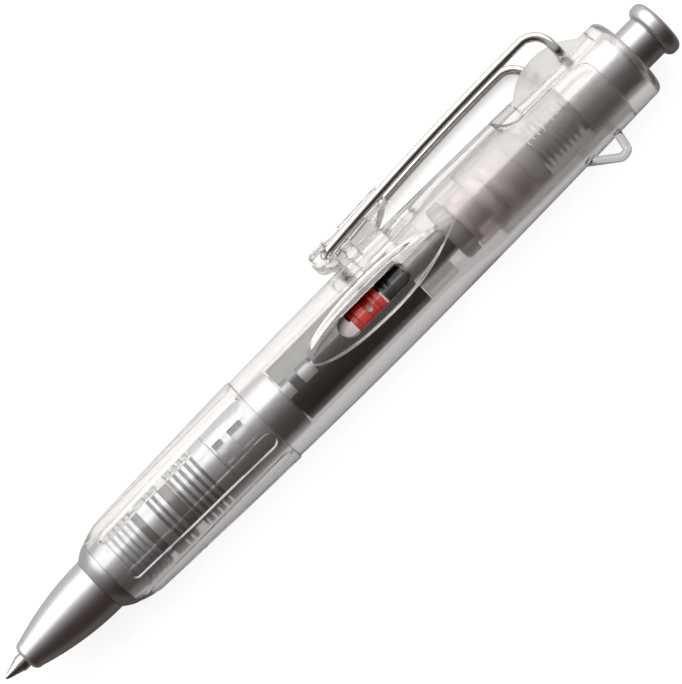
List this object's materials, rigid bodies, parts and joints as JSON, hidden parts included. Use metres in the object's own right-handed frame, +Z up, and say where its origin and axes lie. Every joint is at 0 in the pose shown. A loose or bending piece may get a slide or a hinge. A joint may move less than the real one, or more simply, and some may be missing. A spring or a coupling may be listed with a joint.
{
  "type": "pushbutton ballpoint pen",
  "caption": "Clear-bodied pushbutton ballpoint pen with a soft clear grip over a silver core, a wire clip with a clear pad, and an air-pressure refill mechanism behind a window.",
  "frame": {"origin": "centre of the bounding box's underside; the pen lies on a table at z = 0, resting on its barrel and on one leg of its clip", "axes": "+X from the writing tip to the pushbutton, +Y towards the side that the clip hangs over, +Z up"},
  "size_m": [0.126, 0.022, 0.0144],
  "materials": {
    "satin_silver": "satin silver coat",
    "polished_steel": "polished",
    "spring_steel": "drawn wire",
    "clear_plastic": "clear, glossy",
    "clear_rubber": "clear, slightly hazy",
    "black_plastic": "glossy",
    "red_plastic": "satin",
    "pale_plastic": "hazy, with a slight pink cast",
    "grey_plastic": "moulded",
    "black_rubber": "smooth"
  },
  "bodies": {
    "barrel": {"nose_cone": "satin_silver", "grip_core": "satin_silver", "grip_sleeve": "clear_rubber", "barrel_tube": "clear_plastic", "inner_sleeve": "black_plastic", "guide_bush": "clear_plastic", "tail_cap": "clear_plastic", "cam_sleeve": "satin_silver", "return_spring": "spring_steel"},
    "clip": {"clip_wire": "polished_steel", "clip_pad": "clear_plastic"},
    "button": {"push_button": "satin_silver", "plunger": "black_plastic", "air_cylinder": "pale_plastic", "cylinder_collar": "black_plastic", "cylinder_end_cap": "grey_plastic", "rear_spring": "spring_steel"},
    "rotor": {"cam_rotor": "grey_plastic"},
    "refill": {"refill_tip": "polished_steel", "tip_ball": "polished_steel", "refill_tube": "satin_silver", "refill_plug": "pale_plastic", "valve_piston": "red_plastic", "piston_rod": "black_plastic", "piston_ring": "black_rubber"}
  },
  "joints": [
    {"name": "clip_hinge", "type": "hinge", "parent": "barrel", "child": "clip", "pos_m": [0.0479, 0.00492, 0.0056], "axis": [0, -0.2501, -0.9682], "range_deg": [0, 5], "stiffness_Nm_per_rad": 0.6},
    {"name": "button_slide", "type": "slide", "parent": "barrel", "child": "button", "axis": [1, 0, 0], "range_m": [-0.0015, 0.006], "stiffness_N_per_m": 200},
    {"name": "refill_slide", "type": "slide", "parent": "barrel", "child": "refill", "axis": [1, 0, 0], "range_m": [-0.00125, 0.005], "deforming": ["return_spring"]},
    {"name": "rotor_turn", "type": "hinge", "parent": "button", "child": "rotor", "pos_m": [0.0465, -0.00138, 0.00723], "axis": [1, 0, 0], "range_deg": [-11.25, 45]}
  ],
  "couplings": [
    {"joint": "refill_slide", "follows": "button_slide", "ratio": 0.8333},
    {"joint": "rotor_turn", "follows": "button_slide", "rad_per_m": 130.9}
  ]
}
